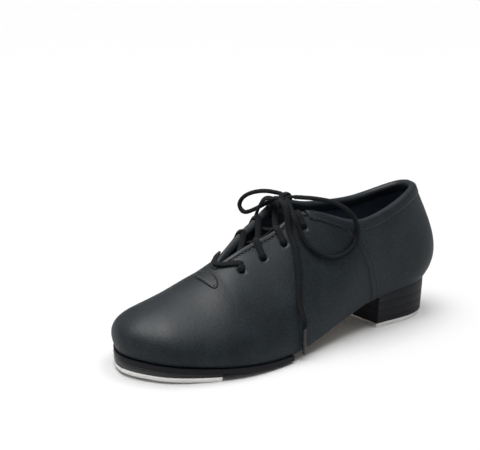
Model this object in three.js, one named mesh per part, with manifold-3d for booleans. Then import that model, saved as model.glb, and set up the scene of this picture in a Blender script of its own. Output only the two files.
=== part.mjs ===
// A lace-up tap shoe for the left foot, built up as a shoemaker lays it out: outsole, sounding board and
// heel stack, insole and sock, lining, stiffeners, upper, tongue, taps with their screws, and the lace.
// Millimetres. X runs from the heel to the toe, Y to the wearer's left (the outer side), Z is up.
import * as THREE from 'three';
import { mergeVertices } from 'three/addons/utils/BufferGeometryUtils.js';
import Module from 'manifold-3d';

const wasm = await Module();
wasm.setup();

// Driving dimensions
const SHOE_LENGTH = 247; // feather line, heel to toe
const BALL_WIDTH = 89; // feather line across the ball
const SEAT_HEIGHT = 25.7; // underside of the upper at the heel's breast, above the floor
const SEAT_PITCH = 3; // how much higher it is at the back of the heel
const BALL_HEIGHT = 5.2; // underside of the upper at the ball, above the floor
const TOE_SPRING = 7.8; // how far the toe end of the sole rises above the ball
const UPPER_HEIGHT = 61; // back of the upper, from the seat to its cut edge
const TOE_BOX_HEIGHT = 35; // crown of the toe box above the sole
const CLEARANCE = 0.3; // between pieces that touch on the real shoe

// Sheet and layer thicknesses
const LEATHER = 1.4;
const STIFFENER = 0.8;
const LINING = 0.9;
const INSOLE = 1.8;
const SOCK = 2;
const OUTSOLE = 3.4;
const TAP = 3; // both taps
const TOP_PIECE = 3;
const TONGUE_LEATHER = 1;
const TONGUE_LINING = 0.8;

// Details that are set on their own
const SOLE_MARGIN = 1.6; // outsole edge beyond the feather line
const HEEL_TAPER = 1.6; // how far the heel's walls lean in from seat to floor
const TAP_INSET = 0.7; // tap edge inside the sole or heel edge
const TAP_PITCH = 0.05; // rise of the toe tap along its length
const HEEL_LIFTS = 2; // lifts between the top piece and the seat lift
const EYELET_PAIRS = 4;
const EYELET_HOLE = 5.2;
const EYELET_SETBACK = { top: 9.5, foot: 13.2 }; // eyelet centre to the facing's edge, top and lowest pair
const BINDING = 2.6;
// Patch at the foot of the facings: its middle is ahead of them, and offset to the outer side of the ridge
const THROAT_BAR = { length: 25, width: 8.8, thickness: 0.9, ahead: 6.9, offset: 4 };
const LACE = 2.4;
const AGLET = 2.6;
const AGLET_LENGTH = 18;
const TAP_SCREW = { head: 6.4, shank: 2.6, length: 6.4 };
const HEEL_SCREW = { head: 8, shank: 3.6, length: 15 };

// Stations round the last: 0 at the back of the heel, TOE at the tip, on to LAST at the heel again.
// Each row is the feather line's x and its y on the outer and inner side, then how far the side wall's
// lower control point stands out and up from it.
const WALL = [
  [4.5, -1, -1, 21, 16],
  [10.5, 16, -17, 14, 15],
  [30, 26.5, -26, 5.5, 15],
  [55, 27, -26.5, 3.5, 14],
  [80, 28.5, -25, 3.5, 16],
  [104, 32, -26.5, 4, 18],
  [127, 37, -31.5, 5, 18],
  [150, 41.5, -37, 6, 18],
  [172, 44.5, -42, 7, 17],
  [194, 43.5, -44.5, 8, 16],
  [214, 37, -43.5, 10, 16],
  [234, 26, -38, 11, 17],
  [246, 11, -24, 10, 18],
  [251.5, -7, -7, 9, 18],
];
// The cut edge from the back of the heel to the foot of the facings: x, y outer and inner, height above
// the floor outer and inner, then how far the upper control point stands out and down from it.
const EDGE = [
  [11, -1, -1, 90.8, 90.8, 9.5, 22],
  [14, 9, -11.5, 90.6, 88.3, 9, 23],
  [27, 18.5, -21.5, 89.2, 82.8, 7, 22],
  [46, 24.5, -26.5, 84.8, 79, 6, 21],
  [68, 27.5, -28, 80, 79.5, 5, 20],
  [92, 26, -27, 80.8, 83, 7, 19],
  [117, 11, -20, 88.5, 90, 12, 11],
  [139, 7, -16, 79, 81.5, 12, 10],
  [160, 2.5, -11, 70.5, 72.5, 12, 12],
  [183, -4, -4, 58, 58, 22, 0],
];
// The ridge of the vamp from the foot of the facings to the crown of the toe box: x and height.
const RIDGE = [[183, 58], [204, 50], [222, 44.5]];
const RIDGE_Y = -4;
const RIDGE_ARMS = [22, 21, 20, 22, 24]; // reach of the upper control points, station 9 to the tip
const TOE = WALL.length - 1;
const LAST = 2 * TOE;
const THROAT = EDGE.length - 1;
const FACING_TOP = 6; // station of the facing's top corner
const CROWN = THROAT + RIDGE.length - 1; // station where the ridge has become the crown

// The reference shoe that the rows above are written for
const REFERENCE = { length: 247, width: 89, seat: 25.7, pitch: 3, ball: 5.2, spring: 7.8, back: 61, box: 35 };
const alongX = SHOE_LENGTH / REFERENCE.length;
const alongY = BALL_WIDTH / REFERENCE.width;

const smooth = (t) => {
  const c = Math.min(1, Math.max(0, t));
  return c * c * (3 - 2 * c);
};
const mix = (a, b, t) => a + (b - a) * t;

// Side view of the sole at a place on the reference shoe: seat, waist, ball and toe spring
function soleProfile(t, { seat, pitch, ball, spring }) {
  const arch = 1 - smooth((t - 36) / 124);
  const rise = Math.max(0, (t - 155) / 95) ** 1.5;
  const tilt = Math.max(0, 1 - t / 62) ** 1.2;
  return ball + (seat - ball) * arch + spring * rise + pitch * tilt;
}

// Underside of the upper above the floor
const SOLE_HEIGHTS = { seat: SEAT_HEIGHT, pitch: SEAT_PITCH, ball: BALL_HEIGHT, spring: TOE_SPRING };
const bottomLine = (x) => soleProfile(x / alongX, SOLE_HEIGHTS);

// Height of a point of the upper: written above the reference floor, kept above this shoe's own sole
function upperHeight(x, height) {
  const t = x / alongX;
  const reference = soleProfile(t, REFERENCE);
  const grow = mix(UPPER_HEIGHT / REFERENCE.back, TOE_BOX_HEIGHT / REFERENCE.box, smooth((t - 120) / 90));
  return bottomLine(x) + (height - reference) * grow;
}

// Station rows on one side as points; side is 1 for the outer and -1 for the inner one
function feather(row, side) {
  const x = row[0] * alongX;
  return new THREE.Vector3(x, (side > 0 ? row[1] : row[2]) * alongY, bottomLine(x));
}
const cutEdge = (row, side) => new THREE.Vector3(
  row[0] * alongX,
  (side > 0 ? row[1] : row[2]) * alongY,
  upperHeight(row[0] * alongX, side > 0 ? row[3] : row[4]),
);
const closed = (points) => new THREE.CatmullRomCurve3(points, true, 'catmullrom', 0.5);
const open = (points) => new THREE.CatmullRomCurve3(points, false, 'catmullrom', 0.5);
const bothSides = (make) => [
  ...WALL.map((row, i) => make(row, 1, i)),
  ...WALL.slice(1, -1).map((row, i) => make(row, -1, i + 1)).reverse(),
];

const featherCurve = closed(bothSides(feather));
const station = (curve, u) => curve.getPoint((((u % LAST) + LAST) % LAST) / LAST);

// Level outward direction of the feather line
function outward(u) {
  const step = 0.05;
  const along = station(featherCurve, u + step).sub(station(featherCurve, u - step));
  return new THREE.Vector3(-along.y, along.x, 0).normalize();
}

const lowerCurve = closed(bothSides((row, side, i) => {
  const u = side > 0 ? i : LAST - i;
  return feather(row, side).addScaledVector(outward(u), row[3]).add(new THREE.Vector3(0, 0, row[4]));
}));

// Cut edge and ridge: smooth within themselves, with a corner where they meet
const edgeCurves = {
  1: open(EDGE.map((row) => cutEdge(row, 1))),
  [-1]: open(EDGE.map((row) => cutEdge(row, -1))),
};
const ridgePoints = RIDGE.map(([x, z]) => new THREE.Vector3(
  x * alongX, RIDGE_Y * alongY, upperHeight(x * alongX, z),
));
const ridgeCurve = open(ridgePoints);
const crown = ridgePoints[ridgePoints.length - 1];

function topPoint(u) {
  const side = u <= TOE ? 1 : -1;
  const s = side > 0 ? u : LAST - u;
  if (s <= THROAT) return edgeCurves[side].getPoint(Math.max(0, s) / THROAT);
  if (s < CROWN) return ridgeCurve.getPoint((s - THROAT) / (CROWN - THROAT));
  return crown.clone();
}

// Direction of the ridge at a station, towards the toe
function ridgeDirection(s) {
  const t = Math.min(1, Math.max(0, (s - THROAT) / (CROWN - THROAT)));
  return ridgeCurve.getTangent(t);
}

// Upper control points: out and down from the cut edge, level across the ridge, fanned round the crown
const upperCurve = closed(bothSides((row, side, i) => {
  const u = side > 0 ? i : LAST - i;
  const top = topPoint(u);
  if (i < THROAT) {
    const edge = EDGE[i];
    return top.addScaledVector(outward(u), edge[5]).add(new THREE.Vector3(0, 0, -edge[6]));
  }
  const plan = feather(row, side).sub(top).setZ(0).normalize();
  const turn = i < CROWN ? 0 : plan.x;
  const reach = RIDGE_ARMS[i - THROAT];
  const across = new THREE.Vector3(0, side * Math.sqrt(Math.max(0, 1 - turn * turn)), 0);
  return top.addScaledVector(ridgeDirection(i), reach * turn).addScaledVector(across, reach);
}));

// The outer face of the upper at station u and height v, 0 at the feather line and 1 at the cut edge
function face(u, v) {
  const w = 1 - v;
  return station(featherCurve, u).multiplyScalar(w * w * w)
    .addScaledVector(station(lowerCurve, u), 3 * w * w * v)
    .addScaledVector(station(upperCurve, u), 3 * w * v * v)
    .addScaledVector(topPoint(((u % LAST) + LAST) % LAST), v * v * v);
}

function faceNormal(u, v) {
  const step = 0.02;
  const side = u <= TOE ? 1 : -1;
  const s = side > 0 ? u : LAST - u;
  if (v > 1 - step && s >= THROAT) {
    const t = ridgeDirection(s);
    return new THREE.Vector3(-t.z, 0, t.x).normalize();
  }
  const vv = Math.min(1 - step, Math.max(step, v));
  const along = face(u + step, vv).sub(face(u - step, vv));
  const up = face(u, vv + step).sub(face(u, vv - step));
  return along.cross(up).normalize().multiplyScalar(-1);
}

const lift = (u, v, offset) => face(u, v).addScaledVector(faceNormal(u, v), offset);

// Triangles from quads of points, without the ones that have closed up to a line
class Skin {
  constructor() {
    this.points = [];
  }

  triangle(a, b, c) {
    const thin = 1e-4;
    if (a.distanceTo(b) < thin || b.distanceTo(c) < thin || c.distanceTo(a) < thin) return;
    this.points.push(a, b, c);
  }

  quad(a, b, c, d) {
    this.triangle(a, b, c);
    this.triangle(a, c, d);
  }

  // A grid of points, rows[i][j], facing the way that i cross j gives, or the other way with the same
  // diagonals, so that nested sheets stay parallel
  grid(rows, turned = false) {
    for (let i = 0; i + 1 < rows.length; i += 1) {
      for (let j = 0; j + 1 < rows[i].length; j += 1) {
        const [a, b, c, d] = [rows[i][j], rows[i + 1][j], rows[i + 1][j + 1], rows[i][j + 1]];
        if (turned) this.quad(a, d, c, b);
        else this.quad(a, b, c, d);
      }
    }
  }

  // A wall from one line of points to another of the same count
  wall(from, to) {
    this.grid([from, to]);
  }

  geometry() {
    return new THREE.BufferGeometry().setFromPoints(this.points);
  }
}

// A closed body between two sheets of the same grid
function between(outer, inner) {
  const skin = new Skin();
  const last = outer.length - 1;
  const end = outer[0].length - 1;
  skin.grid(outer);
  skin.grid(inner, true);
  skin.wall(inner.map((row) => row[end]), outer.map((row) => row[end]));
  skin.wall(outer.map((row) => row[0]), inner.map((row) => row[0]));
  skin.wall(outer[last], inner[last]);
  skin.wall(inner[0], outer[0]);
  return skin.geometry();
}

// Rows of the grid up the upper, closer together towards the cut edge, where it turns over
const ROWS = 8;
const rowHeight = (j) => 1 - (1 - j / ROWS) ** 1.4;

// A layer of the upper on the grid of one region, whose end lines may lean with height, lying between
// two depths. A span of columns and a band of rows pick part of the grid, so nested layers stay parallel.
function layer(region, { span = [0, region.columns], band = [0, ROWS], out = 0, thickness }) {
  const { from, to, columns } = region;
  const sheet = (depth) => Array.from({ length: span[1] - span[0] + 1 }, (_, i) => (
    Array.from({ length: band[1] - band[0] + 1 }, (__, j) => {
      const v = rowHeight(band[0] + j);
      return lift(mix(to(v), from(v), (span[0] + i) / columns), v, -depth);
    })
  ));
  return between(sheet(out), sheet(out + thickness));
}

// The same across the ridge, where the two sides meet and leave no edge: one region round the toe, or
// a pair of regions that mirror each other
function ridgeLayer(regions, { trim = 0, out = 0, thickness }) {
  const skin = new Skin();
  for (const { from, to, columns } of regions) {
    const sheet = (depth) => Array.from({ length: columns - 2 * trim + 1 }, (_, i) => (
      Array.from({ length: ROWS + 1 }, (__, j) => {
        const v = rowHeight(j);
        return lift(mix(to(v), from(v), (trim + i) / columns), v, -depth);
      })
    ));
    const outer = sheet(out);
    const inner = sheet(out + thickness);
    skin.grid(outer);
    skin.grid(inner, true);
    skin.wall(outer.map((row) => row[0]), inner.map((row) => row[0]));
    skin.wall(outer[outer.length - 1], inner[inner.length - 1]);
    skin.wall(inner[0], outer[0]);
  }
  return skin.geometry();
}

// A slab across the last between two stations, with its plan inset from the feather line
function slab({ from, to, inset, insetBelow = inset, top, bottom, columns, across = 4 }) {
  const edge = (u, side, amount) => {
    const at = side > 0 ? u : LAST - u;
    return station(featherCurve, at).addScaledVector(outward(at), -amount);
  };
  const sheet = (amount, height) => Array.from({ length: columns + 1 }, (_, i) => {
    const u = mix(from, to, i / columns);
    const outer = edge(u, 1, amount);
    const inner = edge(u, -1, amount);
    return Array.from({ length: across + 1 }, (__, j) => {
      const p = inner.clone().lerp(outer, j / across);
      return p.setZ(height(p.x));
    });
  });
  return between(sheet(inset, top), sheet(insetBelow, bottom));
}

// A mesh as a manifold-3d solid and back, for the holes
function solid(geometry) {
  const shape = geometry.clone();
  shape.deleteAttribute('normal');
  shape.deleteAttribute('uv');
  const merged = mergeVertices(shape, 1e-3);
  return new wasm.Manifold(new wasm.Mesh({
    numProp: 3,
    vertProperties: new Float32Array(merged.attributes.position.array),
    triVerts: new Uint32Array(merged.index.array),
  }));
}

function pierced(geometry, holes) {
  const cut = holes.reduce((body, hole) => body.subtract(solid(hole)), solid(geometry)).getMesh();
  const result = new THREE.BufferGeometry();
  result.setAttribute('position', new THREE.BufferAttribute(cut.vertProperties, 3));
  result.setIndex(new THREE.BufferAttribute(cut.triVerts, 1));
  return result;
}

// A round bar of the given diameter centred on a point, lying along a direction
function bar(centre, direction, diameter, length, sides = 10) {
  const geometry = new THREE.CylinderGeometry(diameter / 2, diameter / 2, length, sides);
  const turn = new THREE.Quaternion().setFromUnitVectors(new THREE.Vector3(0, 1, 0), direction);
  return geometry.applyQuaternion(turn).translate(centre.x, centre.y, centre.z);
}

function tube(points, diameter, steps, sides = 8) {
  const section = new THREE.Shape();
  section.absarc(0, 0, diameter / 2, 0, 2 * Math.PI);
  return new THREE.ExtrudeGeometry(section, {
    steps,
    curveSegments: sides / 2,
    extrudePath: new THREE.CatmullRomCurve3(points, false, 'centripetal'),
  });
}

// Finishes
const finishes = {
  upper: () => new THREE.MeshStandardMaterial({ color: 0x34383b, roughness: 0.5, metalness: 0 }),
  lining: () => new THREE.MeshStandardMaterial({ color: 0x1d2026, roughness: 0.9, metalness: 0 }),
  board: () => new THREE.MeshStandardMaterial({ color: 0x8a6f52, roughness: 0.9, metalness: 0 }),
  sole: () => new THREE.MeshStandardMaterial({ color: 0x25292c, roughness: 0.6, metalness: 0 }),
  tap: () => new THREE.MeshStandardMaterial({ color: 0xdbd8d7, roughness: 0.3, metalness: 1 }),
  steel: () => new THREE.MeshStandardMaterial({ color: 0xb5b3b0, roughness: 0.3, metalness: 1 }),
  lace: () => new THREE.MeshStandardMaterial({ color: 0x171b1f, roughness: 0.9, metalness: 0 }),
  aglet: () => new THREE.MeshStandardMaterial({ color: 0x101214, roughness: 0.3, metalness: 0 }),
};
const shoe = new THREE.Group();
const group = new THREE.Group();
group.add(shoe);

function add(name, geometry, finish, parent = shoe) {
  const mesh = new THREE.Mesh(geometry, finishes[finish]());
  mesh.name = name;
  parent.add(mesh);
  return mesh;
}

// Where the shoe bends: the ball line on the sole, and leaning cuts through the upper above it
const BALL_STATION = 8.64;
const SEAM_GAP = 0.02; // stations; about the clearance where the pieces of the upper meet
const bendFront = (v) => mix(9, 10.55, v);
const bendRear = (v) => mix(8.35, THROAT, v);
const sideSeam = (v) => mix(3.62, 5.27, v ** 1.5);

const soleTop = (x) => bottomLine(x) - CLEARANCE;
const soleBottom = (x) => soleTop(x) - OUTSOLE;

// The regions of the upper and lining, each with its own grid
const rearEnd = (v) => bendRear(v) - SEAM_GAP;
const mirrored = ({ from, to, columns }) => ({
  from: (v) => LAST - to(v), to: (v) => LAST - from(v), columns,
});
const toeStart = (v) => bendFront(v) + SEAM_GAP;
const toeRegion = { from: toeStart, to: (v) => LAST - toeStart(v), columns: 24 };
const flexRegion = { from: bendRear, to: bendFront, columns: 2 };
const quarterRegion = { from: (v) => sideSeam(v) + SEAM_GAP, to: rearEnd, columns: 10 };
const heelRegion = { from: (v) => -sideSeam(v), to: sideSeam, columns: 18 };

function upper() {
  const holes = eyeletHoles();
  const skin = { thickness: LEATHER };
  add('vamp_toe', ridgeLayer([toeRegion], skin), 'upper');
  add('vamp_flex', ridgeLayer([flexRegion, mirrored(flexRegion)], skin), 'upper');
  add('quarter_outer', pierced(layer(quarterRegion, skin), holes.outer), 'upper');
  add('quarter_inner', pierced(layer(mirrored(quarterRegion), skin), holes.inner), 'upper');
  add('heel_quarter', layer(heelRegion, skin), 'upper');
}

// Eyelets: even steps down the facing, set back from its edge along the surface
const eyeletStations = Array.from({ length: EYELET_PAIRS }, (_, k) => (
  mix(8.4, 6.2, k / (EYELET_PAIRS - 1))
));

function setBack(u, distance) {
  let v = 1;
  const edge = topPoint(u);
  while (face(u, v).distanceTo(edge) < distance && v > 0.5) v -= 0.002;
  return v;
}

function eyelet(k, side) {
  const s = eyeletStations[k];
  const u = side > 0 ? s : LAST - s;
  const v = setBack(u, mix(EYELET_SETBACK.foot, EYELET_SETBACK.top, k / (EYELET_PAIRS - 1)));
  return { point: face(u, v), normal: faceNormal(u, v), edge: topPoint(u) };
}

function eyeletHoles() {
  const depth = 2 * (LEATHER + STIFFENER + LINING + 4 * CLEARANCE) + 4;
  const row = (side) => eyeletStations.map((_, k) => {
    const { point, normal } = eyelet(k, side);
    return bar(point, normal, EYELET_HOLE, depth);
  });
  return { outer: row(1), inner: row(-1) };
}

const stiffenerDepth = LEATHER + CLEARANCE;
const liningDepth = stiffenerDepth + STIFFENER + CLEARANCE;
const innerDepth = liningDepth + LINING;

function stiffeners() {
  const holes = eyeletHoles();
  const sheet = { out: stiffenerDepth, thickness: STIFFENER };
  add('toe_puff', ridgeLayer([toeRegion], { ...sheet, trim: 3 }), 'board');
  add('heel_counter', layer(heelRegion, { ...sheet, span: [3, 15], band: [0, ROWS - 3] }), 'board');
  const stay = (region, span) => layer(region, { ...sheet, span, band: [ROWS - 3, ROWS] });
  add('facing_stay_outer', pierced(stay(quarterRegion, [1, 7]), holes.outer), 'board');
  add('facing_stay_inner', pierced(stay(mirrored(quarterRegion), [3, 9]), holes.inner), 'board');
}

function lining() {
  const holes = eyeletHoles();
  const sheet = { out: liningDepth, thickness: LINING };
  add('lining_toe', ridgeLayer([toeRegion], sheet), 'lining');
  add('lining_flex', ridgeLayer([flexRegion, mirrored(flexRegion)], sheet), 'lining');
  add('lining_outer', pierced(layer(quarterRegion, sheet), holes.outer), 'lining');
  add('lining_inner', pierced(layer(mirrored(quarterRegion), sheet), holes.inner), 'lining');
  add('heel_lining', layer(heelRegion, sheet), 'lining');
}

// Sole, insole and sock: split on the ball line, where the shoe bends
function soles() {
  const ballGap = 0.012;
  const insoleTop = (x) => bottomLine(x) + CLEARANCE + INSOLE;
  const sockTop = (x) => insoleTop(x) + CLEARANCE + SOCK;
  const inside = innerDepth + CLEARANCE;
  const front = { from: BALL_STATION + ballGap, to: TOE };
  const plan = { inset: inside, columns: 10 };
  add('outsole_toe', slab({
    ...front, inset: -SOLE_MARGIN, top: soleTop, bottom: soleBottom, columns: 12,
  }), 'sole');
  add('outsole_ball', slab({
    from: 7.1, to: BALL_STATION - ballGap, inset: -SOLE_MARGIN, top: soleTop, bottom: soleBottom, columns: 6,
  }), 'sole');
  add('insole_toe', slab({
    ...front, ...plan, top: insoleTop, bottom: (x) => bottomLine(x) + CLEARANCE,
  }), 'board');
  add('insole_rear', slab({
    from: 0, to: BALL_STATION - ballGap, ...plan, columns: 18, top: insoleTop,
    bottom: (x) => bottomLine(x) + CLEARANCE,
  }), 'board');
  add('sock_toe', slab({
    ...front, ...plan, inset: inside + 1, top: sockTop, bottom: (x) => insoleTop(x) + CLEARANCE,
  }), 'lining');
  add('sock_rear', slab({
    from: 0, to: BALL_STATION - ballGap, inset: inside + 1, columns: 18, top: sockTop,
    bottom: (x) => insoleTop(x) + CLEARANCE,
  }), 'lining');
}

// A countersunk screw, head down, with its point up at the given height
function screw({ head, shank, length }) {
  const cone = (head - shank) / 2;
  return new THREE.LatheGeometry([
    new THREE.Vector2(0, 0),
    new THREE.Vector2(head / 2, 0),
    new THREE.Vector2(head / 2, 0.5),
    new THREE.Vector2(shank / 2, 0.5 + cone),
    new THREE.Vector2(shank / 2, length - shank / 2),
    new THREE.Vector2(0, length),
  ], 12).rotateX(Math.PI / 2);
}

// The hole for that screw, with clearance all round
function screwHole(size, at) {
  const { head, shank, length } = size;
  const wide = { head: head + 2 * CLEARANCE, shank: shank + 2 * CLEARANCE, length: length + CLEARANCE };
  const cone = (head - shank) / 2;
  return new THREE.LatheGeometry([
    new THREE.Vector2(0, -2),
    new THREE.Vector2(wide.head / 2, -2),
    new THREE.Vector2(wide.head / 2, 0.5 + CLEARANCE),
    new THREE.Vector2(wide.shank / 2, 0.5 + CLEARANCE + cone),
    new THREE.Vector2(wide.shank / 2, wide.length),
    new THREE.Vector2(0, wide.length),
  ], 12).rotateX(Math.PI / 2).translate(at.x, at.y, at.z);
}

const TAP_STATION = 9.72; // rear edge of the toe tap
const tapRear = station(featherCurve, TAP_STATION).x;
const tapUnder = (x) => TAP_PITCH * (x - tapRear);
const tapOver = (x) => tapUnder(x) + TAP;

function toeTap() {
  const plan = { from: TAP_STATION, to: TOE, columns: 12, inset: TAP_INSET - SOLE_MARGIN };
  const places = [[0.22, 0.56], [0.22, -0.56], [0.72, 0]].map(([t, w]) => {
    const x = mix(tapRear, station(featherCurve, TOE).x, t);
    const half = BALL_WIDTH / 2;
    return new THREE.Vector3(x, RIDGE_Y * alongY + w * half, tapUnder(x));
  });
  const holes = places.map((at) => screwHole(TAP_SCREW, at));
  add('toe_tap', pierced(slab({ ...plan, top: tapOver, bottom: tapUnder }), holes), 'tap');
  add('sounding_board', pierced(slab({
    ...plan, top: (x) => soleBottom(x) - CLEARANCE, bottom: (x) => tapOver(x) + CLEARANCE,
  }), holes), 'board');
  const sole = shoe.getObjectByName('outsole_toe');
  sole.geometry = pierced(sole.geometry, holes);
  places.forEach((at, i) => {
    add(`toe_tap_screw_${i + 1}`, screw(TAP_SCREW), 'steel').position.copy(at);
  });
}

const BREAST_STATION = 3.3;

function heel() {
  const lean = (z) => HEEL_TAPER * (1 - z / SEAT_HEIGHT);
  const plan = { from: 0, to: BREAST_STATION, columns: 10 };
  const level = (z) => () => z;
  const block = (bottom, top, extra = 0) => slab({
    ...plan,
    inset: lean(top) + extra,
    insetBelow: lean(bottom) + extra,
    top: level(top),
    bottom: level(bottom),
  });
  const places = [[16, 0], [50, 0.55], [50, -0.55]].map(([x, w]) => (
    new THREE.Vector3(x * alongX, (w * 27 - 1) * alongY, 0)
  ));
  const tapHoles = places.map((at) => screwHole(TAP_SCREW, at));
  add('heel_tap', pierced(block(0, TAP, TAP_INSET), tapHoles), 'tap');
  const topPieceFloor = TAP + CLEARANCE;
  const liftsFloor = topPieceFloor + TOP_PIECE + CLEARANCE;
  const liftHeight = (SEAT_HEIGHT - 7 - liftsFloor) / HEEL_LIFTS;
  const centre = new THREE.Vector3(30 * alongX, -1 * alongY, 0);
  const seat = bottomLine(centre.x) + CLEARANCE;
  const down = screwHole(HEEL_SCREW, new THREE.Vector3(0, 0, 0)).rotateX(Math.PI)
    .translate(centre.x, centre.y, seat + INSOLE);
  const holes = [...tapHoles, down];
  add('heel_top_piece', pierced(block(topPieceFloor, topPieceFloor + TOP_PIECE), holes), 'board');
  for (let i = 0; i < HEEL_LIFTS; i += 1) {
    const low = liftsFloor + i * liftHeight;
    add(`heel_lift_${i + 1}`, pierced(block(low, low + liftHeight - CLEARANCE), holes), 'sole');
  }
  const seatFloor = liftsFloor + HEEL_LIFTS * liftHeight;
  add('heel_seat_lift', pierced(slab({
    ...plan, inset: 0, insetBelow: lean(seatFloor), top: soleTop, bottom: level(seatFloor),
  }), [down]), 'sole');
  const board = shoe.getObjectByName('insole_rear');
  board.geometry = pierced(board.geometry, [down]);
  add('heel_screw', screw(HEEL_SCREW).rotateX(Math.PI), 'steel')
    .position.set(centre.x, centre.y, seat + INSOLE);
  places.forEach((at, i) => {
    add(`heel_tap_screw_${i + 1}`, screw(TAP_SCREW), 'steel').position.copy(at);
  });
}

// Tongue: a curved strip under the facings, sewn in at the foot of the throat
const TONGUE = { base: 190, tip: 102, halfBase: 10.5, halfTip: 19.5, drop: 11.4, bowBase: 13, bowTip: 25 };

function tongueSheet(depth) {
  const steps = 12;
  const across = 6;
  return Array.from({ length: steps + 1 }, (_, i) => {
    const t = i / steps;
    const x = mix(TONGUE.base, TONGUE.tip, t) * alongX;
    const half = mix(TONGUE.halfBase, TONGUE.halfTip, t) * alongY;
    const crest = throatHeight(x) - TONGUE.drop;
    const bow = mix(TONGUE.bowBase, TONGUE.bowTip, t);
    return Array.from({ length: across + 1 }, (__, j) => {
      const y = mix(half, -half, j / across);
      return new THREE.Vector3(x, RIDGE_Y * alongY + y, crest - depth - (y * y) / (2 * bow));
    });
  });
}

// Height of the facing edges and the ridge over a place on the shoe
function throatHeight(x) {
  const edge = edgeCurves[1];
  const corner = edge.getPoint(FACING_TOP / THROAT);
  if (x < corner.x) return corner.z + (corner.x - x) * 0.42;
  let low = FACING_TOP;
  let high = CROWN;
  for (let n = 0; n < 30; n += 1) {
    const middle = (low + high) / 2;
    if (topPoint(middle).x < x) low = middle;
    else high = middle;
  }
  return topPoint(low).z;
}

function tongue() {
  add('tongue', between(tongueSheet(0), tongueSheet(TONGUE_LEATHER)), 'upper');
  const lower = TONGUE_LEATHER + CLEARANCE;
  add('tongue_lining', between(tongueSheet(lower), tongueSheet(lower + TONGUE_LINING)), 'lining');
}

// Folded binding round the foot opening, and the stitched bar at the foot of the facings
function trims() {
  const steps = 44;
  const points = Array.from({ length: steps + 1 }, (_, i) => {
    const s = mix(-FACING_TOP + 0.35, FACING_TOP - 0.35, i / steps);
    const p = topPoint(((s % LAST) + LAST) % LAST);
    return p.add(new THREE.Vector3(0, 0, BINDING / 2 + CLEARANCE));
  });
  add('topline_binding', tube(points, BINDING, steps), 'upper');
  const ridgeStep = RIDGE[1][0] - RIDGE[0][0]; // mm along the shoe to one station
  const barRows = (depth) => Array.from({ length: 9 }, (_, i) => {
    const w = mix(1, -1, i / 8);
    const off = w * THROAT_BAR.length / 2 + THROAT_BAR.offset;
    return Array.from({ length: 5 }, (__, j) => {
      const half = (THROAT_BAR.width / 2) * Math.sqrt(Math.max(0.02, 1 - w * w));
      const s = THROAT + (THROAT_BAR.ahead + mix(-half, half, j / 4)) / ridgeStep;
      const u = off >= 0 ? s : LAST - s;
      return lift(u, setBack(u, Math.abs(off)), depth);
    });
  });
  add('throat_bar', between(barRows(CLEARANCE + THROAT_BAR.thickness), barRows(CLEARANCE)), 'upper');
}

// A place given on the reference shoe, as a point of this one
function place(x, y, z) {
  return new THREE.Vector3(x * alongX, y * alongY, upperHeight(x * alongX, z));
}

const KNOT = place(121, -4, 96.5);
const KNOT_SIZE = new THREE.Vector3(14, 13, 10);

// The lace through the eyelets: it crosses under the foot of the facings' gap over the leather, then each
// strand rises from under one facing, crosses the gap and dives into the next eyelet of the other
function laceRoute() {
  const under = innerDepth + LACE / 2 + CLEARANCE;
  const over = LACE / 2 + CLEARANCE;
  const crossing = (k, rise) => {
    const p = topPoint((eyeletStations[k - 1] + eyeletStations[k]) / 2);
    return new THREE.Vector3(p.x, RIDGE_Y * alongY, p.z - 6 + rise);
  };
  const pass = (k, side) => {
    const { point, normal, edge } = eyelet(k, side);
    const inwards = edge.clone().sub(point).normalize();
    return [
      edge.clone().addScaledVector(inwards, over + 0.5).addScaledVector(normal, -innerDepth / 2),
      edge.clone().addScaledVector(inwards, 1).addScaledVector(normal, over + 0.6),
      point.clone().lerp(edge, 0.5).addScaledVector(normal, over + 0.8),
      point.clone().addScaledVector(inwards, 0.5).addScaledVector(normal, 1),
      point.clone().addScaledVector(normal, -2.6),
      point.clone().addScaledVector(inwards, 1.4).addScaledVector(normal, -under - 0.6),
      point.clone().lerp(edge, 0.6).addScaledVector(normal, -under - 0.8),
    ];
  };
  const half = (side) => {
    const points = pass(0, side).slice(2);
    for (let k = 1; k < EYELET_PAIRS; k += 1) {
      points.push(crossing(k, side * (LACE / 2 + CLEARANCE)), ...pass(k, k % 2 ? -side : side));
    }
    const exit = KNOT.clone().add(new THREE.Vector3(2.5, -side * 1.9, -KNOT_SIZE.z / 2));
    points.push(exit.clone().add(new THREE.Vector3(1, -side * 0.8, -5)), exit);
    return points;
  };
  const foot = topPoint(THROAT - 0.12).setY(RIDGE_Y * alongY).add(new THREE.Vector3(0, 0, over + 1.2));
  return [...half(-1).reverse(), foot, ...half(1)];
}

// A point just off the leather, at a place along the shoe and a height, on one side
function onLeather(x, height, side) {
  const z = upperHeight(x * alongX, height);
  const solve = (low, high, test) => {
    let [a, b] = [low, high];
    for (let n = 0; n < 24; n += 1) {
      const middle = (a + b) / 2;
      if (test(middle)) a = middle;
      else b = middle;
    }
    return a;
  };
  const at = (s) => (side > 0 ? s : LAST - s);
  const along = (v) => at(solve(0, CROWN, (s) => face(at(s), v).x < x * alongX));
  const v = solve(0, 1, (w) => face(along(w), w).z < z);
  return lift(along(v), v, LACE / 2 + 2 * CLEARANCE);
}

// Where a strand leaves the knot in a direction, a gap off its surface
function leaveKnot(x, y, z) {
  const d = new THREE.Vector3(x, y, z).normalize();
  const reach = 0.5 / Math.hypot(d.x / KNOT_SIZE.x, d.y / KNOT_SIZE.y, d.z / KNOT_SIZE.z);
  return KNOT.clone().addScaledVector(d, reach + 3 * CLEARANCE);
}

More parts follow.
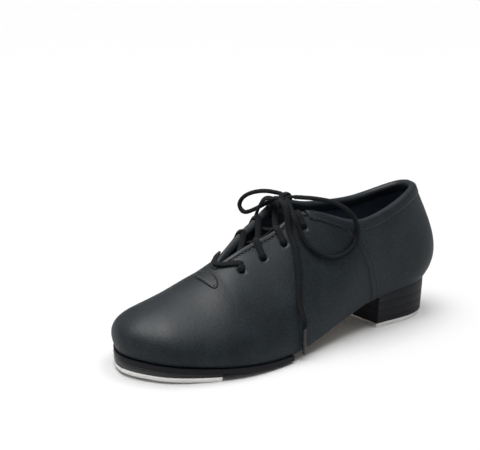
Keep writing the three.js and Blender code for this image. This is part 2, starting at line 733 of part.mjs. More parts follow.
function lace() {
  add('lacing', tube(laceRoute(), LACE, 96), 'lace');
  add('lace_knot', new THREE.SphereGeometry(0.5, 12, 8).scale(KNOT_SIZE.x, KNOT_SIZE.y, KNOT_SIZE.z)
    .translate(KNOT.x, KNOT.y, KNOT.z), 'lace');
  add('lace_loop_outer', tube([
    leaveKnot(-0.3, 1, 0.25),
    place(111, 17, 98.6),
    place(101, 28, 95),
    place(92.5, 33, 85.5),
    onLeather(87.5, 74, 1),
    onLeather(91, 66, 1),
    onLeather(99.5, 60.8, 1),
    onLeather(110, 60, 1),
    onLeather(118.5, 64.5, 1),
    onLeather(124, 70.5, 1),
    place(127.3, 17.5, 81),
    place(128.5, 14, 88),
    leaveKnot(0.55, 1, -0.1),
  ], LACE, 18), 'lace');
  add('lace_loop_inner', tube([
    leaveKnot(-0.2, -1, 0.2),
    place(126, -22, 98.5),
    place(131, -34, 94),
    place(133, -39, 87),
    place(133, -36, 83),
    place(131, -29, 84),
    leaveKnot(0.5, -1, -0.1),
  ], LACE, 12), 'lace');
  for (const [name, side] of [['outer', 1], ['inner', -1]]) {
    const low = onLeather(143.8, 14, side).setZ(upperHeight(143.8 * alongX, 22.5));
    const hang = new THREE.Vector3(0, 0, -1);
    add(`lace_end_${name}`, tube([
      leaveKnot(1, side * 0.35, 0),
      place(131, side > 0 ? 8 : -16, 94),
      onLeather(131, 79, side),
      onLeather(132, 70.5, side),
      onLeather(134, 62, side),
      onLeather(136.5, 53, side),
      onLeather(139.5, 44, side),
      onLeather(142, 35, side),
      low.clone().addScaledVector(hang, -5),
      low,
    ], LACE, 12), 'lace');
    const aglet = low.clone().addScaledVector(hang, CLEARANCE + AGLET_LENGTH / 2);
    add(`aglet_${name}`, bar(aglet, hang, AGLET, AGLET_LENGTH), 'aglet');
  }
}

// Build the shoe
upper();
stiffeners();
lining();
soles();
toeTap();
heel();
tongue();
trims();
lace();

// The origin is the middle of the shoe's footprint, on the floor; the lace hangs beyond it
const body = new THREE.Box3();
for (const mesh of shoe.children) {
  if (!/^(lac|aglet)/.test(mesh.name)) body.expandByObject(mesh);
}
const middle = body.getCenter(new THREE.Vector3());
shoe.position.set(-middle.x, -middle.y, -body.min.z);

export default group;
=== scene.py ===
import math

import bmesh
import bpy
import numpy as np
from mathutils import Matrix, Vector


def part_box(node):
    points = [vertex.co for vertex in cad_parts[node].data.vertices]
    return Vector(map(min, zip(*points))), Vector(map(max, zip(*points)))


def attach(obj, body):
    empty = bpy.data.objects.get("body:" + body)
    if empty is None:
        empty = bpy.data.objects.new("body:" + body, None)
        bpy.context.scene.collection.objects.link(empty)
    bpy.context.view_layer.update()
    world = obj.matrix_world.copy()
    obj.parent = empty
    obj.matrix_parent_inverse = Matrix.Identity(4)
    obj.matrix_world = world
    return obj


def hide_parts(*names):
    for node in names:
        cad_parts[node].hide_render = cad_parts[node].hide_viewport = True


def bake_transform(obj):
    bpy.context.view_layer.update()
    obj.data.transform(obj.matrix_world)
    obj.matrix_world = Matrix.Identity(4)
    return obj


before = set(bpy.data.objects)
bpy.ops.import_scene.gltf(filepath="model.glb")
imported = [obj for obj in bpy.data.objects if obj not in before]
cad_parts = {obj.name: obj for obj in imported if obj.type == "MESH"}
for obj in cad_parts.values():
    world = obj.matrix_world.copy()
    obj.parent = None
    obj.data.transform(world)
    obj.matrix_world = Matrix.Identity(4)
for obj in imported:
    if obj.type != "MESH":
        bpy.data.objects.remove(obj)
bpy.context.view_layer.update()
bpy.ops.object.select_all(action="DESELECT")

# ---------- Studio
# A white paper sweep under a broad overhead light and one soft lamp, with a long lens looking down a
# little at the toe and the outer side.
CAMERA_AZIMUTH = math.radians(141.945)
CAMERA_HEIGHT = math.radians(15.76)
CAMERA_DISTANCE = 1.1
LENS, SENSOR = 122.25, 36
LOOK_AT = Vector((0.01789, -0.02661, 0.0764))

scene = bpy.context.scene
scene.view_settings.view_transform = "Standard"
back = Vector((
    math.sin(CAMERA_AZIMUTH) * math.cos(CAMERA_HEIGHT),
    -math.cos(CAMERA_AZIMUTH) * math.cos(CAMERA_HEIGHT),
    math.sin(CAMERA_HEIGHT),
))
bpy.ops.object.camera_add(location=LOOK_AT + back * CAMERA_DISTANCE)
camera = bpy.context.object
camera.rotation_euler = back.to_track_quat("Z", "Y").to_euler()
camera.data.sensor_width = SENSOR
camera.data.lens = LENS
scene.camera = camera


def linear(colour):
    """An sRGB hex colour as linear red, green, blue and alpha."""
    parts = [int(colour[i:i + 2], 16) / 255 for i in (1, 3, 5)]
    return [p / 12.92 if p <= 0.04045 else ((p + 0.055) / 1.055) ** 2.4 for p in parts] + [1]


def new_material(name, **values):
    """A material with its principled shader, set by socket name."""
    made = bpy.data.materials.new(name)
    made.use_nodes = True
    shader = made.node_tree.nodes["Principled BSDF"]
    for key, value in values.items():
        shader.inputs[key.replace("_", " ")].default_value = value
    return made, made.node_tree, shader


def lamp(place, aim, size, power):
    """A square soft lamp that faces a point."""
    bpy.ops.object.light_add(type="AREA", location=place)
    made = bpy.context.object
    made.data.size = size
    made.data.energy = power
    made.rotation_euler = (Vector(place) - Vector(aim)).to_track_quat("Z", "Y").to_euler()
    return made


# The highlight lamp gives gloss only, so that it throws no second shadow on the paper.
TOE_CAP = (0.08, 0, 0.03)
SUN_STRENGTH, SUN_SPREAD, SKY = 2.45, math.radians(55), 0.34
highlight = lamp((0.4, -0.12, 0.95), TOE_CAP, 0.55, 30)
highlight.visible_diffuse = False
bpy.ops.object.light_add(type="SUN", location=(0, 0, 1.5))
overhead = bpy.context.object
overhead.data.energy = SUN_STRENGTH
overhead.data.angle = SUN_SPREAD
world = bpy.data.worlds.new("studio")
scene.world = world
world.use_nodes = True
world.node_tree.nodes["Background"].inputs["Color"].default_value = (1, 1, 1, 1)
world.node_tree.nodes["Background"].inputs["Strength"].default_value = SKY

bpy.ops.mesh.primitive_plane_add(size=8, location=(0, 0, 0))
floor = bpy.context.object
floor.name = "floor"
paper = new_material("white paper sweep", Base_Color=linear("#f4f4f4"), Roughness=0.8)[0]
floor.data.materials.append(paper)

# ---------- Outsole, forepart
# Leather half sole of a split sole: 3.4 mm thick, from the waist to the toe, its edge stained black and
# standing 1.6 mm beyond the line where the upper meets it. It bends across the ball.
MM = 0.001
# The last is laid out in millimetres from the back of the heel; its heel screw ties it to the frame.
HEEL_SCREW_AT = (30, -1)
low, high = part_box("heel_screw")
SHIFT = np.array([
    (low.x + high.x) / 2 / MM - HEEL_SCREW_AT[0],
    (low.y + high.y) / 2 / MM - HEEL_SCREW_AT[1],
    0,
])
# Stations round the last, heel back to toe tip: feather line x, y outer and inner, then the reach out and
# up of the side wall's lower control point
WALL = np.array([
    [4.5, -1, -1, 21, 16], [10.5, 16, -17, 14, 15], [30, 26.5, -26, 5.5, 15], [55, 27, -26.5, 3.5, 14],
    [80, 28.5, -25, 3.5, 16], [104, 32, -26.5, 4, 18], [127, 37, -31.5, 5, 18], [150, 41.5, -37, 6, 18],
    [172, 44.5, -42, 7, 17], [194, 43.5, -44.5, 8, 16], [214, 37, -43.5, 10, 16], [234, 26, -38, 11, 17],
    [246, 11, -24, 10, 18], [251.5, -7, -7, 9, 18],
])
TOE = len(WALL) - 1
LAST = 2 * TOE


def smooth(t):
    c = np.clip(t, 0, 1)
    return c * c * (3 - 2 * c)


BALL_HEIGHT, SEAT_RISE, TOE_SPRING, SEAT_PITCH = 5.2, 20.5, 7.8, 3
WAIST_START, WAIST_LENGTH, SPRING_START, SPRING_LENGTH, SEAT_LENGTH = 36, 124, 155, 95, 62


def bottom(x):
    """Height of the feather line: heel seat, waist, ball and toe spring."""
    x = np.asarray(x, float)
    waist = SEAT_RISE * (1 - smooth((x - WAIST_START) / WAIST_LENGTH))
    spring = TOE_SPRING * np.maximum(0, (x - SPRING_START) / SPRING_LENGTH) ** 1.5
    return BALL_HEIGHT + waist + spring + SEAT_PITCH * np.maximum(0, 1 - x / SEAT_LENGTH) ** 1.2


def spline(points, closed):
    """A curve through points with even curvature, as a function of the point number."""
    points = np.array(points, float)
    n = len(points)
    system = np.zeros((n, n))
    right = np.zeros_like(points)
    for i in range(n):
        if closed or 0 < i < n - 1:
            system[i, (i - 1) % n], system[i, i], system[i, (i + 1) % n] = 1, 4, 1
            right[i] = 3 * (points[(i + 1) % n] - points[(i - 1) % n])
    if not closed:
        system[0, :2], system[-1, -2:] = (2, 1), (1, 2)
        right[0], right[-1] = 3 * (points[1] - points[0]), 3 * (points[-1] - points[-2])
    slope = np.linalg.solve(system, right)

    def at(t):
        t = np.mod(np.asarray(t, float), n) if closed else np.clip(np.asarray(t, float), 0, n - 1)
        i = np.minimum(np.floor(t).astype(int), n - 1 if closed else n - 2)
        f = (t - i)[..., None]
        k = (i + 1) % n
        return (
            (1 + 2 * f) * (1 - f) ** 2 * points[i] + f * (1 - f) ** 2 * slope[i]
            + f * f * (3 - 2 * f) * points[k] + f * f * (f - 1) * slope[k]
        )

    return at


def round_the_last(make):
    return [make(i, 1) for i in range(TOE + 1)] + [make(i, -1) for i in range(TOE - 1, 0, -1)]


def feather_point(i, side):
    x = WALL[i, 0]
    return np.array([x, WALL[i, 1 if side > 0 else 2], float(bottom(x))])


feather = spline(round_the_last(feather_point), True)


def outward(u):
    along = feather(u + 0.05) - feather(u - 0.05)
    flat = np.stack([-along[..., 1], along[..., 0], 0 * along[..., 0]], -1)
    return flat / np.linalg.norm(flat, axis=-1, keepdims=True)


def to_frame(points):
    """Millimetres along the last to metres in the row frame."""
    return (np.asarray(points) + SHIFT) * MM


def mesh_piece(name, points, faces, material):
    """A new smooth-shaded piece from points in metres."""
    mesh = bpy.data.meshes.new(name)
    mesh.from_pydata([tuple(p) for p in points], [], faces)
    made = bpy.data.objects.new(name, mesh)
    bpy.context.collection.objects.link(made)
    mesh.materials.append(material)
    mesh.shade_smooth()
    return made


def tidy(piece):
    """Doubles merged, closed-up faces removed and all faces turned outwards."""
    bm = bmesh.new()
    bm.from_mesh(piece.data)
    bmesh.ops.remove_doubles(bm, verts=bm.verts, dist=1e-6)
    bmesh.ops.dissolve_degenerate(bm, edges=bm.edges, dist=1e-7)
    bmesh.ops.recalc_face_normals(bm, faces=bm.faces)
    bm.to_mesh(piece.data)
    bm.free()


def apply_modifier(piece, kind, **settings):
    bpy.context.view_layer.objects.active = piece
    modifier = piece.modifiers.new(kind.lower(), kind)
    for key, value in settings.items():
        setattr(modifier, key, value)
    bpy.ops.object.modifier_apply(modifier=modifier.name)


def grid_faces(rows, columns, wrap=False):
    """Quads of a grid of points numbered row by row; wrap joins the last row to the first."""
    faces = []
    for i in range(rows if wrap else rows - 1):
        k = (i + 1) % rows
        for j in range(columns - 1):
            faces.append((i * columns + j, k * columns + j, k * columns + j + 1, i * columns + j + 1))
    return faces


SHARP, SMOOTHED = 0.9, 0.7


def slab(name, start, end, inset, below, top, under, material, columns=60, across=14, edge=0.35):
    """A layer across the last from one station to another, inset from the feather line, with eased edges."""
    u = np.linspace(start, end, columns + 1)
    w = np.linspace(0, 1, across + 1)[None, :, None]
    sheets = []
    for amount, height in ((inset, top), (below, under)):
        outer = feather(u) - outward(u) * amount
        inner = feather(LAST - u) - outward(LAST - u) * amount
        points = inner[:, None] * (1 - w) + outer[:, None] * w
        points[..., 2] = height(points[..., 0])
        sheets.append(points.reshape(-1, 3))
    count = len(sheets[0])
    n = across + 1
    faces = grid_faces(columns + 1, n)
    faces += [tuple(count + k for k in reversed(f)) for f in grid_faces(columns + 1, n)]
    for i in range(columns):
        for j in (0, across):
            a, b = i * n + j, (i + 1) * n + j
            faces.append((a, b, b + count, a + count))
    for i in (0, columns):
        for j in range(across):
            a, b = i * n + j, i * n + j + 1
            faces.append((a, b, b + count, a + count))
    made = mesh_piece(name, to_frame(np.concatenate(sheets)), faces, material)
    tidy(made)
    apply_modifier(made, "BEVEL", width=edge * MM, segments=2, limit_method="ANGLE", angle_limit=SHARP)
    made.data.shade_smooth()
    bpy.context.view_layer.objects.active = made
    made.select_set(True)
    bpy.ops.object.shade_smooth_by_angle(angle=SMOOTHED)
    made.select_set(False)
    return made


def add_node(tree, kind, values=None, links=None, **settings):
    """A node with its settings, its socket values and the outputs linked to its inputs."""
    made = tree.nodes.new(kind)
    for key, value in settings.items():
        setattr(made, key, value)
    for key, value in (values or {}).items():
        made.inputs[key].default_value = value
    for key, source in (links or {}).items():
        tree.links.new(source, made.inputs[key])
    return made


# Vegetable-tanned sole leather, edge inked and burnished: nearly black, with faint streaks along the cut.
# Fibre layers are about 0.5 mm apart, drawn at 0.7 mm so that they show.
sole_ink, tree, shader = new_material("inked sole leather", Roughness=0.55, Specular_IOR_Level=0.14)
where = add_node(tree, "ShaderNodeTexCoord").outputs["Object"]
stretched = add_node(
    tree, "ShaderNodeMapping", {"Scale": (60, 60, 1400)}, {"Vector": where}
).outputs["Vector"]
streak = add_node(tree, "ShaderNodeTexNoise", {"Scale": 1.0, "Detail": 3}, {"Vector": stretched})
ramp = add_node(tree, "ShaderNodeValToRGB", None, {"Fac": streak.outputs["Fac"]})
ramp.color_ramp.elements[0].color = linear("#131417")
ramp.color_ramp.elements[1].color = linear("#1c1d21")
tree.links.new(ramp.outputs["Color"], shader.inputs["Base Color"])
bump = add_node(
    tree, "ShaderNodeBump", {"Strength": 0.2, "Distance": 0.0001}, {"Height": streak.outputs["Fac"]}
)
tree.links.new(bump.outputs["Normal"], shader.inputs["Normal"])

OUTSOLE, MARGIN, CLEAR, SOLE_REAR = 3.4, 1.6, 0.3, 7.1
sole_top = lambda x: bottom(x) - CLEAR
sole_under = lambda x: bottom(x) - CLEAR - OUTSOLE
outsole = slab("outsole", SOLE_REAR, TOE, -MARGIN, -MARGIN, sole_top, sole_under, sole_ink, columns=90)
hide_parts("outsole_toe", "outsole_ball")
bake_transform(outsole)

# ---------- Sounding board and toe tap
# A thin board under the front of the sole, and the cast aluminium tap screwed through it. The tap's face
# is buffed bright, its rim satin, and three countersunk screws sit a little below its face.
TAP_STATION, TAP, TAP_INSET, TAP_PITCH, TAP_DRAFT = 9.72, 3.0, 0.7, 0.05, 0.7
tap_rear = float(feather(TAP_STATION)[0])
tap_under = lambda x: TAP_PITCH * (x - tap_rear)
tap_over = lambda x: tap_under(x) + TAP

# Pressed fibre board, its edge inked black with the sole: dull and even.
board_ink = new_material("inked fibre board", Base_Color=linear("#131416"), Roughness=0.6)[0]
# Cast aluminium buffed on a wheel: bright and slightly cloudy, with fine level scratches about 0.25 mm apart.
tap_metal, tree, shader = new_material("buffed cast aluminium", Metallic=1.0)
where = add_node(tree, "ShaderNodeTexCoord").outputs["Object"]
brushed = add_node(
    tree, "ShaderNodeMapping", {"Scale": (300, 300, 4000)}, {"Vector": where}
).outputs["Vector"]
grain = add_node(tree, "ShaderNodeTexNoise", {"Scale": 1.0, "Detail": 4}, {"Vector": brushed})
cloud = add_node(tree, "ShaderNodeTexNoise", {"Scale": 90, "Detail": 2}, {"Vector": where})
tint = add_node(tree, "ShaderNodeValToRGB", None, {"Fac": cloud.outputs["Fac"]})
tint.color_ramp.elements[0].color = linear("#cfcdcb")
tint.color_ramp.elements[1].color = linear("#e8e6e4")
tree.links.new(tint.outputs["Color"], shader.inputs["Base Color"])
rough = add_node(
    tree, "ShaderNodeMapRange", {"To Min": 0.22, "To Max": 0.36}, {"Value": grain.outputs["Fac"]}
)
tree.links.new(rough.outputs["Result"], shader.inputs["Roughness"])
bump = add_node(
    tree, "ShaderNodeBump", {"Strength": 0.15, "Distance": 0.0001}, {"Height": grain.outputs["Fac"]}
)
tree.links.new(bump.outputs["Normal"], shader.inputs["Normal"])


SCREW_CLEAR, SHANK, PAST_FACE, SINK_RISE = 0.0003, 0.0013, 0.0019, 0.0005
DRILL_EXTRA, DRILL_DOWN = 0.02, 0.009


def drill(piece, screw_nodes):
    """Countersunk holes for the CAD screws, a clearance wider than each and cut past both faces."""
    for node in screw_nodes:
        low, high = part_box(node)
        centre = (low + high) / 2
        head, length = (high.x - low.x) / 2, high.z - low.z
        wide = head + SCREW_CLEAR + PAST_FACE
        bpy.ops.mesh.primitive_cylinder_add(
            radius=SHANK + SCREW_CLEAR, depth=length + DRILL_EXTRA, vertices=24,
            location=(centre.x, centre.y, centre.z - DRILL_DOWN),
        )
        shank = bpy.context.object
        bpy.ops.mesh.primitive_cone_add(
            radius1=wide, radius2=0, depth=wide, vertices=32,
            location=(centre.x, centre.y, low.z + SINK_RISE + SCREW_CLEAR - PAST_FACE + wide / 2),
        )
        sink = bpy.context.object
        for cutter in (shank, sink):
            apply_modifier(piece, "BOOLEAN", operation="DIFFERENCE", object=cutter, solver="EXACT")
            bpy.data.objects.remove(cutter)


toe_screws = ["toe_tap_screw_1", "toe_tap_screw_2", "toe_tap_screw_3"]
board_top = lambda x: sole_under(x) - CLEAR
board_under = lambda x: tap_over(x) + CLEAR
sounding = slab(
    "sounding_board_edge", TAP_STATION, TOE, TAP_INSET - MARGIN, TAP_INSET - MARGIN,
    board_top, board_under, board_ink, columns=70, across=6,
)
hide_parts("sounding_board")
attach(sounding, "forepart")
toe_plate = slab(
    "toe_plate", TAP_STATION, TOE, TAP_INSET - MARGIN - TAP_DRAFT, TAP_INSET - MARGIN,
    tap_over, tap_under, tap_metal, columns=90, across=6, edge=0.45,
)
drill(toe_plate, toe_screws)
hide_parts("toe_tap")
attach(toe_plate, "forepart")

# ---------- Heel block and heel tap
# Stacked leather lifts under the seat, inked like the sole, with the fine lines between lifts left to
# show, and the heel's own tap with three screws. The walls lean in a little towards the floor.
BREAST, SEAT, TAPER = 3.3, 25.7, 1.6
TOP_PIECE, SEAT_LIFT, LIFTS = 3, 7, 2
lean = lambda z: TAPER * (1 - z / SEAT)
level = lambda z: (lambda x: np.full_like(x, z))


def lift_piece(name, low, high, material, extra=0.0, top=None, edge=0.3):
    return slab(
        name, 0, BREAST, lean(high) + extra if top is None else 0, lean(low) + extra,
        top or level(high), level(low), material, columns=64, across=10, edge=edge,
    )


heel_screws = ["heel_tap_screw_1", "heel_tap_screw_2", "heel_tap_screw_3"]
stack_low = TAP + CLEAR + TOP_PIECE + CLEAR
stack_step = (SEAT - SEAT_LIFT - stack_low) / LIFTS
seat_low = stack_low + LIFTS * stack_step
GAP = 0.14
heel_layers = [
    ("heel_plate", 0, TAP, tap_metal, TAP_INSET, None, "heel_tap", "tap_metal"),
    ("top_piece", TAP + GAP, stack_low - GAP, sole_ink, 0.0, None, "heel_top_piece", "sole_leather"),
    ("lift_low", stack_low, stack_low + stack_step - GAP, sole_ink, 0.0, None, "heel_lift_1", "sole_leather"),
    ("lift_high", stack_low + stack_step, seat_low - GAP, sole_ink, 0.0, None, "heel_lift_2", "sole_leather"),
    ("seat_lift", seat_low, SEAT, sole_ink, 0.0, sole_top, "heel_seat_lift", "sole_leather"),
]
for name, low, high, material, extra, top, node, slot in heel_layers:
    layer = lift_piece(name, low, high, material, extra, top)
    if node in ("heel_tap", "heel_top_piece"):
        drill(layer, heel_screws)
    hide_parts(node)
    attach(layer, "rear")

# ---------- Screws
# Seven countersunk steel wood screws: three through each tap into the board or top piece above it, and one
# long one down through the heel seat that holds the stacked heel on.
# Zinc-plated steel: satin, with a pale even shine.
screw_steel = new_material(
    "zinc plated steel", Base_Color=linear("#b9bab9"), Metallic=1.0, Roughness=0.3
)[0]
for node in toe_screws + heel_screws + ["heel_screw"]:
    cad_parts[node].data.materials.clear()
    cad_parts[node].data.materials.append(screw_steel)

# ---------- Insole board and sock
# A tan fibre board that the upper is lasted over, and the thin brushed sock glued on it, which is what
# shows on the floor of the shoe. Toe puff, heel counter and facing stays are cut from the same board.
# Pressed leather fibre: matt tan with fine flecks.
fibre, tree, shader = new_material("tan fibre board", Roughness=0.8)
where = add_node(tree, "ShaderNodeTexCoord").outputs["Object"]
fleck = add_node(tree, "ShaderNodeTexNoise", {"Scale": 700, "Detail": 4}, {"Vector": where})
tan = add_node(tree, "ShaderNodeValToRGB", None, {"Fac": fleck.outputs["Fac"]})
tan.color_ramp.elements[0].color = linear("#57493a")
tan.color_ramp.elements[1].color = linear("#7a684f")
tree.links.new(tan.outputs["Color"], shader.inputs["Base Color"])
for node in (
    "insole_toe", "insole_rear", "toe_puff", "heel_counter", "facing_stay_outer", "facing_stay_inner",
):
    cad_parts[node].data.materials.clear()
    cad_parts[node].data.materials.append(fibre)

# Knitted nylon lining with a brushed face: dull slate blue, its loops about 0.6 mm apart drawn at 1 mm.
lining_cloth, tree, shader = new_material("brushed nylon lining", Roughness=0.95, Specular_IOR_Level=0.2)
shader.inputs["Sheen Weight"].default_value = 0.12
where = add_node(tree, "ShaderNodeTexCoord").outputs["Object"]
loops = add_node(tree, "ShaderNodeTexVoronoi", {"Scale": 1000}, {"Vector": where})
nap = add_node(tree, "ShaderNodeTexNoise", {"Scale": 250, "Detail": 4}, {"Vector": where})
shade = add_node(tree, "ShaderNodeValToRGB", None, {"Fac": nap.outputs["Fac"]})
shade.color_ramp.elements[0].color = linear("#2c3441")
shade.color_ramp.elements[1].color = linear("#3c4757")
tree.links.new(shade.outputs["Color"], shader.inputs["Base Color"])
bump = add_node(
    tree, "ShaderNodeBump", {"Strength": 0.4, "Distance": 0.0002}, {"Height": loops.outputs["Distance"]}
)
tree.links.new(bump.outputs["Normal"], shader.inputs["Normal"])

LINING_DEPTH, LINING = 2.8, 0.9
INNER_DEPTH = LINING_DEPTH + LINING
INSOLE, SOCK, SOCK_INSET = 1.8, 2, 1.3
sock_under = lambda x: bottom(x) + CLEAR + INSOLE + CLEAR
sock_top = lambda x: sock_under(x) + SOCK
sock = slab(
    "sock", 0, TOE, INNER_DEPTH + SOCK_INSET, INNER_DEPTH + SOCK_INSET, sock_top, sock_under,
    lining_cloth, columns=110, across=12, edge=0.5,
)
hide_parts("sock_toe", "sock_rear")
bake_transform(sock)

# ---------- Upper
# One skin of soft dark grey leather, 1.4 mm, cut with open facings over the instep; the heel quarter laps
# over the front at the side seam. Its wall is a smooth sweep from the sole to the cut edge.
# Cut edge, heel to throat: x, y outer and inner, z outer and inner, reach out and down
EDGE = np.array([
    [11, -1, -1, 90.8, 90.8, 9.5, 22], [14, 9, -11.5, 90.6, 88.3, 9, 23],
    [27, 18.5, -21.5, 89.2, 82.8, 7, 22],
    [46, 24.5, -26.5, 84.8, 79, 6, 21], [68, 27.5, -28, 80, 79.5, 5, 20], [92, 26, -27, 80.8, 83, 7, 19],
    [117, 11, -20, 88.5, 90, 12, 11], [139, 7, -16, 79, 81.5, 12, 10], [160, 2.5, -11, 70.5, 72.5, 12, 12],
    [183, -4, -4, 58, 58, 22, 0],
])
RIDGE = np.array([[183, -4, 58], [204, -4, 50], [222, -4, 44.5]])
RIDGE_ARMS = [22, 21, 20, 22, 24]
THROAT = len(EDGE) - 1
CROWN = THROAT + 2
LEATHER = 1.4
RIDGE_Y = -4


def cut_edge(i, side):
    row = EDGE[i]
    return np.array([row[0], row[1 if side > 0 else 2], row[3 if side > 0 else 4]])


edge_curve = {side: spline([cut_edge(i, side) for i in range(THROAT + 1)], False) for side in (1, -1)}
ridge_curve = spline(RIDGE, False)


def sided(u):
    """Side of the shoe and station from the heel for a station round the last."""
    u = np.mod(np.asarray(u, float), LAST)
    side = np.where(u <= TOE, 1, -1)
    return side, np.where(side > 0, u, LAST - u)


def top_point(u):
    side, s = sided(u)
    outer, inner = edge_curve[1](s), edge_curve[-1](s)
    edge = np.where((side > 0)[..., None], outer, inner)
    return np.where((s <= THROAT)[..., None], edge, ridge_curve(s - THROAT))


def ridge_direction(s):
    t = np.clip(np.asarray(s, float) - THROAT, 0, CROWN - THROAT)
    along = ridge_curve(np.minimum(t + 0.02, 2)) - ridge_curve(np.maximum(t - 0.02, 0))
    return along / np.linalg.norm(along, axis=-1, keepdims=True)


def lower_arm(i, side):
    out = outward(np.array(float(i if side > 0 else LAST - i)))
    return feather_point(i, side) + out * WALL[i, 3] + np.array([0, 0, WALL[i, 4]])


def upper_arm(i, side):
    u = float(i if side > 0 else LAST - i)
    top = top_point(np.array(u))
    if i < THROAT:
        return top + outward(np.array(u)) * EDGE[i, 5] - np.array([0, 0, EDGE[i, 6]])
    plan = (feather_point(i, side) - top) * np.array([1, 1, 0])
    turn = 0 if i < CROWN else plan[0] / np.linalg.norm(plan)
    reach = RIDGE_ARMS[i - THROAT]
    across = np.array([0, side * math.sqrt(max(0, 1 - turn * turn)), 0])
    return top + ridge_direction(np.array(float(i))) * reach * turn + across * reach


lower_curve = spline(round_the_last(lower_arm), True)
upper_curve = spline(round_the_last(upper_arm), True)


def face(u, v):
    """The outer face of the upper at a station and a height, 0 at the sole and 1 at the cut edge."""
    u, v = np.broadcast_arrays(np.asarray(u, float), np.asarray(v, float))
    w, v = (1 - v)[..., None], v[..., None]
    return (
        w ** 3 * feather(u) + 3 * w * w * v * lower_curve(u)
        + 3 * w * v * v * upper_curve(u) + v ** 3 * top_point(u)
    )


def normal(u, v):
    u, v = np.broadcast_arrays(np.asarray(u, float), np.asarray(v, float))
    inside = np.clip(v, 0.02, 0.98)
    along = face(u + 0.02, inside) - face(u - 0.02, inside)
    rise = face(u, inside + 0.02) - face(u, inside - 0.02)
    n = -np.cross(along, rise)
    s = sided(u)[1]
    t = ridge_direction(s)
    over = np.stack([-t[..., 2], 0 * t[..., 0], t[..., 0]], -1)
    blend = (np.clip((v - 0.9) / 0.1, 0, 1) * (s >= THROAT))[..., None]
    n = n / np.maximum(np.linalg.norm(n, axis=-1, keepdims=True), 1e-9)
    n = n * (1 - blend) + over * blend
    return n / np.linalg.norm(n, axis=-1, keepdims=True)


def off_face(u, v, distance):
    return face(u, v) + normal(u, v) * np.asarray(distance, float)[..., None]


def set_back(u, distance):
    """Height on the wall that lies a distance from the cut edge, measured down the leather."""
    v = np.linspace(1, 0.3, 351)
    gone = np.linalg.norm(face(u, v) - top_point(np.array(float(u))), axis=-1)
    return float(v[np.argmax(gone >= distance)])


EYELET_STATIONS = np.linspace(8.4, 6.2, 4)
EYELET_SETBACKS = np.linspace(13.2, 9.5, 4)
HOLE = 2.3


def eyelet(k, side):
    """Centre, normal and nearest edge point of an eyelet; side is 1 for the outer facing."""
    u = EYELET_STATIONS[k] if side > 0 else LAST - EYELET_STATIONS[k]
    v = set_back(u, EYELET_SETBACKS[k])
    return face(u, v), normal(u, v), top_point(np.array(u))


SEAM_FOOT, SEAM_LEAN, SEAM_CURVE = 3.62, 1.65, 1.5
side_seam = lambda v: SEAM_FOOT + SEAM_LEAN * np.asarray(v, float) ** SEAM_CURVE
INTO_FRAME = Matrix.Translation(Vector(SHIFT) * MM) @ Matrix.Scale(MM, 4)
LAP, LAP_SPREAD = 0.6, 0.07
RIM_REACH, RIM_FLAT = 1.6, 1.4


def wall_sheet(name, depth, thickness, material, per_station=16, rows=44, lap=0.0):
    """The whole wall of the shoe as one skin at a depth under its outer face, with the eyelets cut."""
    u = np.arange(LAST * per_station) / per_station
    v = 1 - (1 - np.linspace(0, 1, rows + 1)) ** 1.15
    uu, vv = np.meshgrid(u, v, indexing="ij")
    s = sided(uu)[1]
    raised = lap * smooth((side_seam(vv) - s) / LAP_SPREAD + 0.5)
    points = off_face(uu, vv, raised - depth).reshape(-1, 3)
    made = mesh_piece(name, points, grid_faces(len(u), rows + 1, wrap=True), material)
    bm = bmesh.new()
    bm.from_mesh(made.data)
    bmesh.ops.remove_doubles(bm, verts=bm.verts, dist=2e-3)
    bmesh.ops.dissolve_degenerate(bm, edges=bm.edges, dist=1e-4)
    for k in range(4):
        for side in (1, -1):
            centre, up, _ = eyelet(k, side)
            centre, up = Vector(centre - up * depth), Vector(up)

            def flat(p):
                d = p - centre
                return d - up * d.dot(up)

            near = [f for f in bm.faces if (f.calc_center_median() - centre).length < 8]
            inside = [f for f in near if flat(f.calc_center_median()).length < HOLE]
            bmesh.ops.delete(bm, geom=inside, context="FACES")
            rim = [
                w for w in bm.verts
                if w.is_boundary and (w.co - centre).length < HOLE + RIM_REACH
                and flat(w.co).length < HOLE + RIM_FLAT
            ]
            for w in rim:
                d = flat(w.co)
                w.co += d.normalized() * (HOLE - d.length)
    bmesh.ops.recalc_face_normals(bm, faces=bm.faces)
    bm.to_mesh(made.data)
    bm.free()
    made.data.transform(INTO_FRAME)
    apply_modifier(made, "SOLIDIFY", thickness=thickness * MM, offset=-1, use_even_offset=True)
    made.data.shade_smooth()
    return made


# Full-grain leather, drum-dyed and lightly polished: pores and fine creases 0.4 to 0.8 mm apart, drawn at
# about 1 mm so that they show, with slow clouding where the dye took unevenly and the gloss varies.
upper_leather, tree, shader = new_material("polished grey calf")
shader.inputs["Specular IOR Level"].default_value = 0.17
where = add_node(tree, "ShaderNodeTexCoord").outputs["Object"]
cloud = add_node(tree, "ShaderNodeTexNoise", {"Scale": 38, "Detail": 5, "Roughness": 0.6}, {"Vector": where})
colour = add_node(tree, "ShaderNodeValToRGB", None, {"Fac": cloud.outputs["Fac"]})
colour.color_ramp.elements[0].position = 0.3
colour.color_ramp.elements[0].color = linear("#151b1f")
colour.color_ramp.elements[1].position = 0.72
colour.color_ramp.elements[1].color = linear("#222a2f")
speck = add_node(tree, "ShaderNodeTexNoise", {"Scale": 900, "Detail": 2}, {"Vector": where})
flecks = add_node(
    tree, "ShaderNodeMapRange", {"From Min": 0.35, "From Max": 0.65, "To Min": 0.72, "To Max": 1.25},
    {"Value": speck.outputs["Fac"]},
)
speckled = add_node(
    tree, "ShaderNodeVectorMath", None, {0: colour.outputs["Color"]}, operation="SCALE"
)
tree.links.new(flecks.outputs["Result"], speckled.inputs["Scale"])
